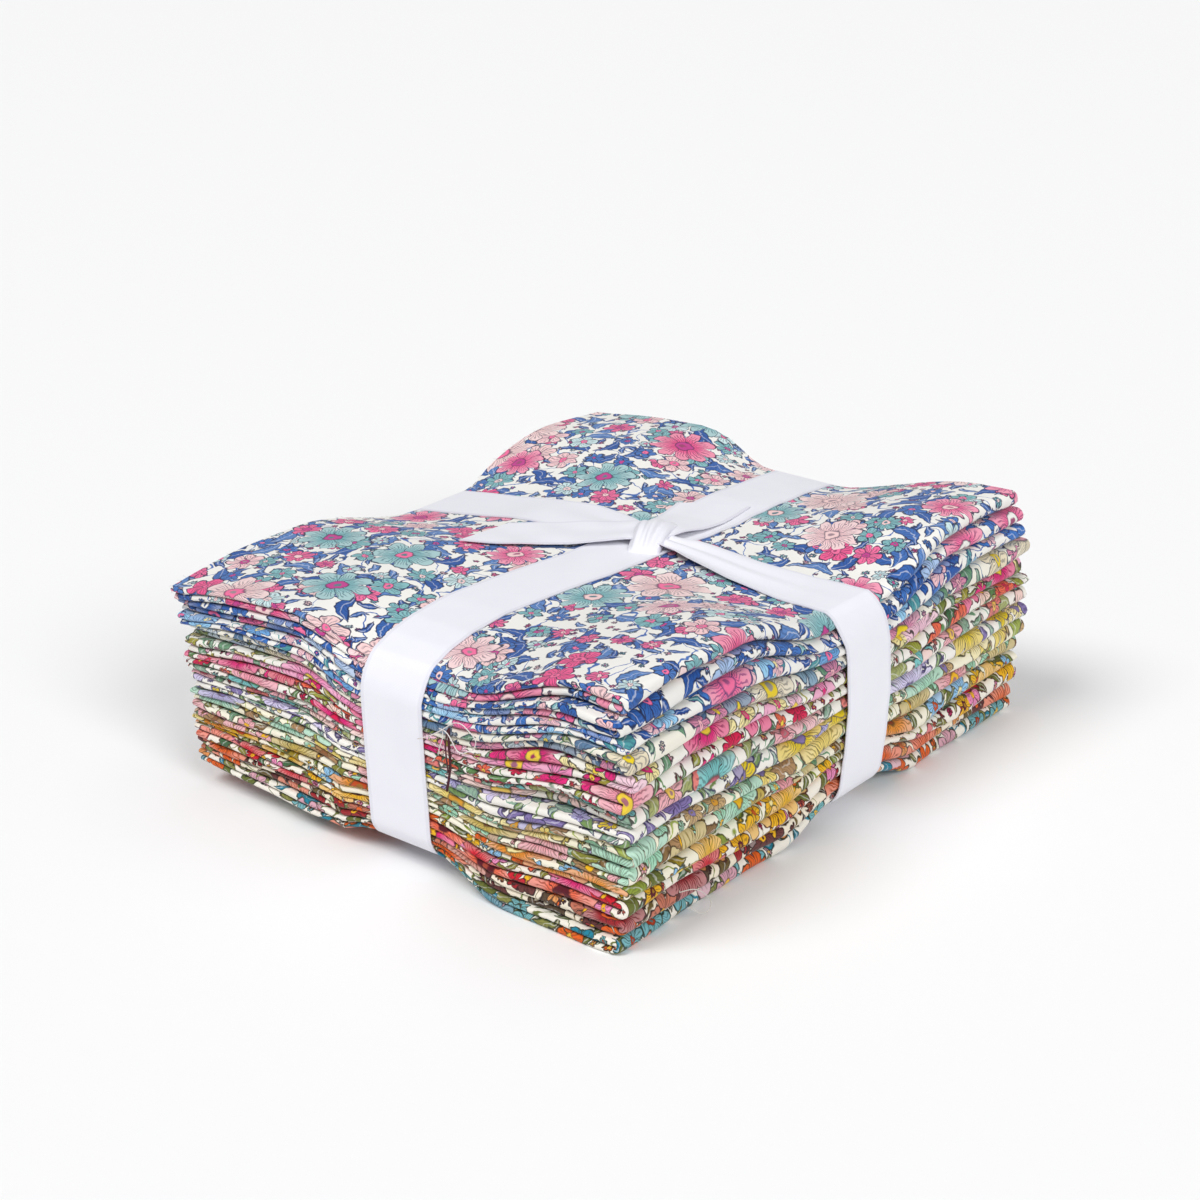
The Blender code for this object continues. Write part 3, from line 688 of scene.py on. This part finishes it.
def fraying_nodes():
    """Geometry Nodes that stand short loose yarns along a cut edge, in clusters, each bent its own way."""
    tree = bpy.data.node_groups.new("frayed_cut_edge", "GeometryNodeTree")
    face = tree.interface
    face.new_socket("Geometry", in_out="INPUT", socket_type="NodeSocketGeometry")
    for label in ("Yarn Spacing", "Yarn Length", "Yarn Thickness", "Bare Share"):
        face.new_socket(label, in_out="INPUT", socket_type="NodeSocketFloat")
    face.new_socket("Seed", in_out="INPUT", socket_type="NodeSocketInt")
    face.new_socket("Yarn", in_out="INPUT", socket_type="NodeSocketMaterial")
    face.new_socket("Geometry", in_out="OUTPUT", socket_type="NodeSocketGeometry")
    new, link = tree.nodes.new, tree.links.new
    given = new("NodeGroupInput").outputs
    to_curve = new("GeometryNodeMeshToCurve")
    link(given["Geometry"], to_curve.inputs["Mesh"])
    spaced = new("GeometryNodeResampleCurve")
    spaced.mode = "LENGTH"
    link(to_curve.outputs[0], spaced.inputs["Curve"])
    link(given["Yarn Spacing"], spaced.inputs["Length"])

    bent = new("GeometryNodeCurveQuadraticBezier")
    bent.inputs["Resolution"].default_value = 3
    bent.inputs["Start"].default_value = (0.0, 0.0, -0.15)
    bent.inputs["Middle"].default_value = (0.0005, 0.0, 0.5)
    bent.inputs["End"].default_value = (-0.0004, 0.0006, 1.0)
    ring = new("GeometryNodeCurvePrimitiveCircle")
    ring.inputs["Resolution"].default_value = 3
    half = new("ShaderNodeMath")
    half.operation = "MULTIPLY"
    half.inputs[1].default_value = 0.5
    link(given["Yarn Thickness"], half.inputs[0])
    link(half.outputs[0], ring.inputs["Radius"])
    yarn = new("GeometryNodeCurveToMesh")
    yarn.inputs["Fill Caps"].default_value = True
    link(bent.outputs[0], yarn.inputs["Curve"])
    link(ring.outputs[0], yarn.inputs["Profile Curve"])

    outward = new("GeometryNodeInputNamedAttribute")
    outward.data_type = "FLOAT_VECTOR"
    outward.inputs["Name"].default_value = "outward"
    stray = new("FunctionNodeRandomValue")
    stray.data_type = "FLOAT_VECTOR"
    stray.inputs[0].default_value = (-0.55, -0.55, -0.55)
    stray.inputs[1].default_value = (0.55, 0.55, 0.35)
    link(given["Seed"], stray.inputs["Seed"])
    leaning = new("ShaderNodeVectorMath")
    leaning.operation = "ADD"
    link(outward.outputs[0], leaning.inputs[0])
    link(stray.outputs[0], leaning.inputs[1])
    turned = new("FunctionNodeAlignRotationToVector")
    turned.axis = "Z"
    link(leaning.outputs[0], turned.inputs["Vector"])

    uneven = new("FunctionNodeRandomValue")
    uneven.data_type = "FLOAT"
    uneven.inputs[2].default_value = 0.35
    uneven.inputs[3].default_value = 1.6
    link(given["Seed"], uneven.inputs["Seed"])
    length = new("ShaderNodeMath")
    length.operation = "MULTIPLY"
    link(uneven.outputs[1], length.inputs[0])
    link(given["Yarn Length"], length.inputs[1])
    size = new("ShaderNodeCombineXYZ")
    size.inputs[0].default_value = 1.0
    size.inputs[1].default_value = 1.0
    link(length.outputs[0], size.inputs[2])

    clusters = new("ShaderNodeTexNoise")
    clusters.inputs["Scale"].default_value = 70.0
    kept = new("FunctionNodeCompare")
    kept.data_type = "FLOAT"
    kept.operation = "GREATER_THAN"
    link(clusters.outputs[0], kept.inputs[0])
    link(given["Bare Share"], kept.inputs[1])
    stand = new("GeometryNodeInstanceOnPoints")
    link(spaced.outputs[0], stand.inputs["Points"])
    link(kept.outputs[0], stand.inputs["Selection"])
    link(yarn.outputs[0], stand.inputs["Instance"])
    link(turned.outputs[0], stand.inputs["Rotation"])
    link(size.outputs[0], stand.inputs["Scale"])
    real = new("GeometryNodeRealizeInstances")
    link(stand.outputs[0], real.inputs[0])
    painted = new("GeometryNodeSetMaterial")
    link(real.outputs[0], painted.inputs["Geometry"])
    link(given["Yarn"], painted.inputs["Material"])
    link(painted.outputs[0], new("NodeGroupOutput").inputs[0])
    return tree


def yarn_paint(name, colour):
    """Soft undyed or dyed cotton yarn, a little uneven along its length."""
    paint = bpy.data.materials.new(name)
    paint.use_nodes = True
    tree = paint.node_tree
    shader = tree.nodes["Principled BSDF"]
    place = tree.nodes.new("ShaderNodeTexCoord")
    slubs = tree.nodes.new("ShaderNodeTexNoise")
    slubs.inputs["Scale"].default_value = 900.0
    tree.links.new(place.outputs["Object"], slubs.inputs["Vector"])
    tone = mixed(tree, slubs.outputs[0], tuple(0.78 * c for c in colour), colour)
    tree.links.new(tone, shader.inputs["Base Color"])
    shader.inputs["Roughness"].default_value = 0.9
    return paint


def evaluated(source, group, settings, name):
    """The plain mesh that the nodes make of this object, in place of it."""
    modifier = source.modifiers.new(group.name, "NODES")
    modifier.node_group = group
    for socket in group.interface.items_tree:
        if socket.in_out == "INPUT" and socket.name in settings:
            modifier[socket.identifier] = settings[socket.name]
    graph = bpy.context.evaluated_depsgraph_get()
    mesh = bpy.data.meshes.new_from_object(source.evaluated_get(graph))
    source.modifiers.clear()
    bpy.data.objects.remove(source)
    mesh.name = name
    for vertex in mesh.vertices:
        vertex.co.z = max(vertex.co.z, 0.00015)
    return new_object(name, mesh)


UNDER_TAPE = 18.0  # a cut edge is bare this far to each side of a tape's middle


def cut_edges(name, grid):
    """One piece's cut edges as bare lines, but for what the tape covers, with the way out at each point."""
    lines = (
        (grid[:, 0], grid[:, 0] - grid[:, 1]),
        (grid[:, -1], grid[:, -1] - grid[:, -2]),
        (grid[0, :], grid[0, :] - grid[1, :]),
    )
    points, edges, out = [], [], []
    for line, away in lines:
        first = len(points)
        points += line.tolist()
        out += (away / np.linalg.norm(away, axis=1, keepdims=True)).tolist()
        x, y = (line[:, 0] - CENTRE[0]) / MM, (line[:, 1] - CENTRE[1]) / MM
        taped = (np.abs(x - RIBBON_X) < UNDER_TAPE) & (np.abs(y) > LENGTH_Y / 4)
        taped |= (np.abs(y - RIBBON_Y - 3.0) < UNDER_TAPE) & (np.abs(x) > WIDTH_X / 4)
        bare = ~taped
        edges += [(first + k, first + k + 1) for k in range(len(line) - 1) if bare[k] and bare[k + 1]]
    mesh = bpy.data.meshes.new(name)
    mesh.from_pydata(points, edges, [])
    outward = mesh.attributes.new("outward", "FLOAT_VECTOR", "POINT")
    outward.data.foreach_set("vector", np.array(out).ravel())
    return new_object(name, mesh)


LOOSE_THREADS = {
    # piece: thickness and colour of each thread that hangs from it, and its points, in millimetres
    6: (
        (
            0.8, (0.07, 0.012, 0.02),
            (
                (25.9, -112.0, 54.6), (27.0, -113.6, 51.4), (27.5, -113.9, 48.5), (27.6, -113.6, 43.6),
                (27.0, -113.7, 39.1), (26.1, -113.9, 34.4),
            ),
        ),
        (
            0.5, (0.09, 0.02, 0.03),
            (
                (25.4, -112.2, 54.0), (26.2, -114.2, 50.4), (26.8, -114.6, 46.0), (27.1, -114.2, 41.0),
            ),
        ),
        (
            0.34, (0.8, 0.74, 0.72),
            (
                (15.4, -114.6, 48.9), (19.8, -114.2, 50.9), (23.9, -113.8, 53.7), (26.8, -113.9, 55.9),
                (30.0, -114.4, 58.5), (33.6, -114.8, 59.2), (35.9, -114.9, 57.9), (38.2, -114.5, 56.0),
                (38.5, -114.0, 53.8), (36.5, -113.6, 50.9),
            ),
        ),
        (
            0.34, (0.84, 0.8, 0.78),
            (
                (23.1, -113.4, 54.2), (26.3, -113.9, 54.4), (29.0, -114.4, 52.3), (30.9, -114.6, 49.6),
                (32.9, -114.2, 48.8), (35.7, -113.6, 50.7),
            ),
        ),
        (
            0.3, (0.8, 0.76, 0.74),
            (
                (24.3, -113.2, 54.2), (25.4, -114.2, 51.9), (24.1, -114.6, 48.5), (23.2, -114.2, 45.6),
            ),
        ),
    ),
    14: (
        (
            0.3, (0.74, 0.71, 0.66),
            (
                (93.6, -87.0, 11.4), (95.6, -82.1, 11.5), (96.6, -77.5, 7.8), (97.0, -74.8, 3.6),
                (96.8, -76.8, 1.4), (96.4, -80.9, 2.6), (95.4, -83.5, 5.4),
            ),
        ),
    ),
}


def loose_thread(name, thickness, colour, course):
    """One yarn that has come out of a cut edge, as a round closed tube along its points."""
    course = np.array(course)
    for _ in range(3):
        middles = (course[:-1] + course[1:]) / 2
        corners = np.stack((middles[:-1] + course[1:-1], middles[1:] + course[1:-1]), axis=1) / 2
        course = np.concatenate((course[:1], corners.reshape(-1, 3), course[-1:]))
    ahead = np.gradient(course, axis=0)
    ahead /= np.linalg.norm(ahead, axis=1, keepdims=True)
    aside = np.cross(ahead, (0.3, 0.9, 0.2))
    aside /= np.linalg.norm(aside, axis=1, keepdims=True)
    upward = np.cross(aside, ahead)
    turns = np.linspace(0, 2 * math.pi, 7)[:-1]
    ring = np.cos(turns)[:, None] * aside[:, None, :] + np.sin(turns)[:, None] * upward[:, None, :]
    tube = (course[:, None, :] + ring * thickness / 2) * MM + (*CENTRE, 0.0)
    sides = len(turns)
    faces = [tuple(range(sides))[::-1], tuple(range((len(course) - 1) * sides, len(course) * sides))]
    for row in range(len(course) - 1):
        for k in range(sides):
            a, b = row * sides + k, row * sides + (k + 1) % sides
            faces.append((a, b, b + sides, a + sides))
    mesh = bpy.data.meshes.new(name)
    mesh.from_pydata(tube.reshape(-1, 3).tolist(), [], faces)
    mesh.shade_smooth()
    made = new_object(name, mesh)
    made.data.materials.append(yarn_paint(f"{name}_yarn", colour))
    return made


fraying = fraying_nodes()
for number, (slot, scale, ground, ink, big, small, leaves, centres) in enumerate(PRINTS, start=1):
    node = f"fat_quarter_{number:02d}"
    grid, flat_cloth = folded_piece(number)
    skin, faces = two_sided(grid, CLOTH * MM)
    both_faces = np.tile(flat_cloth.reshape(-1, 2) * MM, (2, 1))
    name = f"folded_cotton_{number:02d}"
    piece = new_object(name, mesh_of(name, skin, faces, both_faces))
    cotton = floral_cotton(f"{slot}_cotton", number * 1.37, scale, ground, ink, big, small, leaves, centres)
    piece.data.materials.append(cotton)
    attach(piece, "root")
    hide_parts(node)
    frayed = evaluated(
        cut_edges(f"cut_edges_{number:02d}", grid),
        fraying,
        {
            "Yarn Spacing": 0.0021,
            "Yarn Length": 0.0012,
            "Yarn Thickness": 0.00018,
            "Bare Share": 0.50,
            "Seed": number,
            "Yarn": yarn_paint(f"{slot}_yarn", linear(ground)),
        },
        f"frayed_yarns_{number:02d}",
    )
    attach(frayed, "root")
    for k, (thickness, colour, course) in enumerate(LOOSE_THREADS.get(number, ())):
        thread = loose_thread(f"loose_thread_{number:02d}_{k}", thickness, colour, course)
        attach(thread, "root")

# The tie: one length of white woven tape, 25 mm wide, goes once round the stack each way, is knotted where
# the arms cross, and ends in two short free tails cut on the slant. Its pull rounds the stack's edges.
TAPE_WIDTH, TAPE, TAPE_COLUMNS = 25.0, 0.35, 12
TAPE_REST = 0.35  # between the cloth and the middle of the tape
TAPE_BEND = 1.6
KNOT_X, KNOT_Y = 8.5, 10.0
tape_parts = []


def add_tape(points, width):
    """Keeps one stretch of tape: a grid of points along and across it, and its own flat coordinates."""
    steps = np.linalg.norm(np.diff(points[:, points.shape[1] // 2], axis=0), axis=-1)
    along = np.concatenate(((0.0,), np.cumsum(steps)))[:, None]
    across = np.linspace(-width / 2, width / 2, points.shape[1])[None, :] * MM
    tape_parts.append((points, np.stack((along + 0 * across, across + 0 * along), axis=-1)))


def loop_course(ends):
    """Places round one loop: along it, level, the outward direction, and the side of the stack."""
    rows = []
    top, bottom = STACK, 0.0
    for s in np.linspace(ends[1] - TAPE_BEND, ends[0] + TAPE_BEND, 121):
        rows.append((s, top, 0.0, 1.0, "top"))
    for end, sign, name in ((ends[0], -1, "low"), (ends[1], 1, "high")):
        bend = []
        for angle in np.radians(np.linspace(90, 0, 8)[1:]):
            n = (sign * math.cos(angle), math.sin(angle))
            place = end - sign * TAPE_BEND + TAPE_BEND * n[0]
            bend.append((place, top - TAPE_BEND + TAPE_BEND * n[1], *n, name))
        for level in np.linspace(top - TAPE_BEND, TAPE_BEND, 34)[1:]:
            bend.append((end, level, float(sign), 0.0, name))
        for angle in np.radians(np.linspace(0, -90, 7)[1:]):
            n = (sign * math.cos(angle), math.sin(angle))
            place = end - sign * TAPE_BEND + TAPE_BEND * n[0]
            bend.append((place, TAPE_BEND + TAPE_BEND * n[1], *n, name))
        if sign < 0:
            rows += bend
            for s in np.linspace(end + TAPE_BEND, ends[1] - TAPE_BEND, 60)[1:-1]:
                rows.append((s, bottom, 0.0, -1.0, "bottom"))
        else:
            rows += bend[::-1]
    rows.append(rows[0])
    return rows


def tied_loop(ends, centres, widths, lifts, along_x):
    """One loop of tape. centres, widths and lifts give its line, width and height over the cloth on top."""
    grid = []
    for s, level, n_along, n_up, part in loop_course(ends):
        if part in ("low", "high"):
            centre = np.interp(STACK - level, np.linspace(0.0, STACK, 5), centres[part])
        else:
            centre = np.interp(s, *centres[part])
        width = np.interp(s, *widths) if part == "top" else TAPE_WIDTH
        lift = TAPE_REST + (np.interp(s, *lifts) if part == "top" else 0.0)
        share = np.linspace(-1, 1, TAPE_COLUMNS + 1)
        gather = 1 - width / TAPE_WIDTH
        pleats = gather * (1.3 * np.cos(share * 7.5 + 0.8) + 0.5 * np.cos(share * 13.0))
        sideways = centre + share * width / 2
        out_along = s + n_along * lift
        level_out = level + n_up * (lift + np.maximum(pleats, -0.8 * gather))
        x, y = (out_along + 0 * sideways, sideways) if along_x else (sideways, out_along + 0 * sideways)
        grid.append(placed(x, y, level_out))
    add_tape(np.array(grid), TAPE_WIDTH)


LEFT, RIGHT = -WIDTH_X / 2 + PULL_LEFT - 0.2, WIDTH_X / 2 - PULL_RIGHT + 0.2
FRONT, BACK = -LENGTH_Y / 2 + PULL_FRONT - 0.2, LENGTH_Y / 2 - PULL_BACK + 0.2
tied_loop(
    (FRONT, BACK),
    {
        "top": ((FRONT, -70.0, -45.0, -20.0, KNOT_Y, 40.0, BACK), (2.5, 1.5, 4.0, 7.0, KNOT_X, 10.5, 6.5)),
        "low": (2.5, 2.9, 3.6, 4.5, 5.5),
        "high": (6.5, 5.7, 5.0, 4.5, 4.0),
        "bottom": ((FRONT, BACK), (5.5, 4.0)),
    },
    ((FRONT, BACK), (TAPE_WIDTH, TAPE_WIDTH)),
    ((FRONT, BACK), (0.0, 0.0)),
    along_x=False,
)
tied_loop(
    (LEFT, RIGHT),
    {
        "top": (
            (LEFT, -70.0, -30.0, -8.0, 12.0, 30.0, 50.0, 70.0, RIGHT),
            (9.0, 9.5, 12.5, 12.0, 7.5, 6.0, 4.5, 6.0, 8.0),
        ),
        "low": (9.0, 8.5, 8.0, 8.0, 8.0),
        "high": (8.0, 11.2, 12.8, 11.2, 8.0),
        "bottom": ((LEFT, RIGHT), (8.0, 8.0)),
    },
    (
        (LEFT, -24.0, 0.0, 18.0, 32.0, 56.0, 74.0, RIGHT),
        (TAPE_WIDTH, TAPE_WIDTH, 15.0, 10.5, 15.5, 19.5, 23.5, TAPE_WIDTH),
    ),
    ((LEFT, -30.0, -14.0, 26.0, 46.0, 70.0, RIGHT), (0.0, 0.0, 0.6, 2.4, 1.3, 0.0, 0.0)),
    along_x=True,
)

tails = (
    # stations from the cut end in: one edge's x and y, the other edge's, and height over the cloth
    (
        ((-38.5, -8.5), (-38.0, -35.0), 1.1, 0.5),
        ((-30.0, -3.0), (-28.0, -28.5), 1.3, 0.7),
        ((-20.0, 4.5), (-15.0, -19.0), 1.6, 1.2),
        ((-10.0, 10.5), (-3.0, -10.0), 1.9, 1.9),
        ((-2.0, 14.5), (5.0, -2.0), 2.8, 2.8),
        ((4.0, 17.0), (11.0, 3.0), 2.8, 2.6),
    ),
    (
        ((16.5, 56.5), (-6.0, 44.0), 0.5, 0.45),
        ((18.0, 46.0), (-4.5, 37.5), 0.5, 0.5),
        ((19.0, 36.0), (-3.0, 31.0), 0.65, 0.7),
        ((18.5, 26.0), (-1.0, 25.0), 1.3, 1.4),
        ((17.0, 17.0), (1.0, 17.0), 2.6, 2.6),
        ((16.0, 9.0), (3.0, 8.0), 2.4, 2.4),
    ),
)
for stations in tails:
    marks = np.linspace(0, 1, len(stations))
    fine = np.linspace(0, 1, 36)
    columns = np.array([(*a, *b, ha, hb) for a, b, ha, hb in stations])
    smooth_rows = np.stack([np.interp(fine, marks, columns[:, k]) for k in range(6)], axis=-1)
    smoothing = np.array((0.1, 0.2, 0.4, 0.2, 0.1))
    for k in range(6):
        padded = np.pad(smooth_rows[:, k], 2, mode="reflect", reflect_type="odd")
        smooth_rows[:, k] = np.convolve(padded, smoothing, mode="valid")
    grid = []
    for row, t in zip(smooth_rows, fine):
        share = np.linspace(0, 1, TAPE_COLUMNS + 1)
        x = row[0] + (row[2] - row[0]) * share
        y = row[1] + (row[3] - row[1]) * share
        lift = row[4] + (row[5] - row[4]) * share
        creases = 0.35 * t**2 * np.sin(share * 9.0 + 0.5)
        grid.append(placed(x, y, STACK + TAPE_REST + lift + creases))
    add_tape(np.array(grid), TAPE_WIDTH)

KNOT_LENGTH, KNOT_NARROW, KNOT_WIDER, KNOT_RISE = 29.0, 10.5, 6.0, 6.8
KNOT_ANGLE = math.radians(25.0)
KNOT_SHIFT = (0.8, -1.0)
KNOT_SINK = 0.7  # its foot lies this far inside the crossing
foot = STACK + TAPE_REST - KNOT_SINK
grid = []
for t in np.linspace(0, 1, 34):
    share = np.linspace(-1, 1, 2 * TAPE_COLUMNS + 1)
    run = (t - 0.5) * KNOT_LENGTH
    waist = KNOT_NARROW + KNOT_WIDER * t**1.3
    side = share * waist / 2
    crown = math.sin(math.pi * t) ** 0.55
    roll = np.sqrt(np.maximum(0.0, 1 - 0.86 * share**2))
    pleats = 0.50 * np.sin(share * 8.5 + 1.6 * t + 0.3) + 0.30 * np.sin(share * 17.0 - 2.0 * t) * (1.3 - t)
    x = KNOT_X + KNOT_SHIFT[0] - math.sin(KNOT_ANGLE) * run + math.cos(KNOT_ANGLE) * side
    y = KNOT_Y + KNOT_SHIFT[1] + math.cos(KNOT_ANGLE) * run + math.sin(KNOT_ANGLE) * side
    grid.append(placed(x, y, foot + KNOT_RISE * crown * roll + pleats * crown))
add_tape(np.array(grid), TAPE_WIDTH)

skins, face_lists, flats, count = [], [], [], 0
for points, flat in tape_parts:
    skin, faces = two_sided(points, TAPE * MM)
    skins.append(skin)
    face_lists.append(faces + count)
    flats.append(np.concatenate((flat.reshape(-1, 2), flat.reshape(-1, 2))))
    count += len(skin)

tape_mesh = mesh_of("ribbon_tape", np.concatenate(skins), np.concatenate(face_lists), np.concatenate(flats))
tape = new_object("ribbon_tape", tape_mesh)
woven = bpy.data.materials.new("white_woven_tape")
woven.use_nodes = True
tree = woven.node_tree
shader = tree.nodes["Principled BSDF"]
flat = tree.nodes.new("ShaderNodeUVMap")
flat.uv_map = "flat_cloth"
place = tree.nodes.new("ShaderNodeSeparateXYZ")
tree.links.new(flat.outputs[0], place.inputs[0])
RIB_SPACING = 0.00045
ribs = value_node(tree, "SINE", value_node(tree, "MULTIPLY", place.outputs[0], 2 * math.pi / RIB_SPACING))
selvedge = below(tree, 0.0112, value_node(tree, "ABSOLUTE", place.outputs[1]), 0.0005)
cloudy = tree.nodes.new("ShaderNodeTexNoise")
cloudy.inputs["Scale"].default_value = 90.0
tree.links.new(flat.outputs[0], cloudy.inputs["Vector"])
tone = mixed(tree, cloudy.outputs[0], (0.79, 0.79, 0.86), (0.83, 0.83, 0.89))
tone = mixed(tree, value_node(tree, "MULTIPLY", selvedge, 0.6), tone, (0.69, 0.69, 0.77))
tree.links.new(tone, shader.inputs["Base Color"])
thick_edge = value_node(tree, "MULTIPLY", selvedge, 1.2)
height = value_node(tree, "ADD", value_node(tree, "MULTIPLY", ribs, 0.5), thick_edge)
bump = tree.nodes.new("ShaderNodeBump")
bump.inputs["Strength"].default_value = 0.25
bump.inputs["Distance"].default_value = 0.00005
tree.links.new(height, bump.inputs["Height"])
tree.links.new(bump.outputs[0], shader.inputs["Normal"])
shader.inputs["Roughness"].default_value = 0.5
shader.inputs["Sheen Weight"].default_value = 0.15
tape.data.materials.append(woven)
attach(tape, "root")
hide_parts("ribbon")
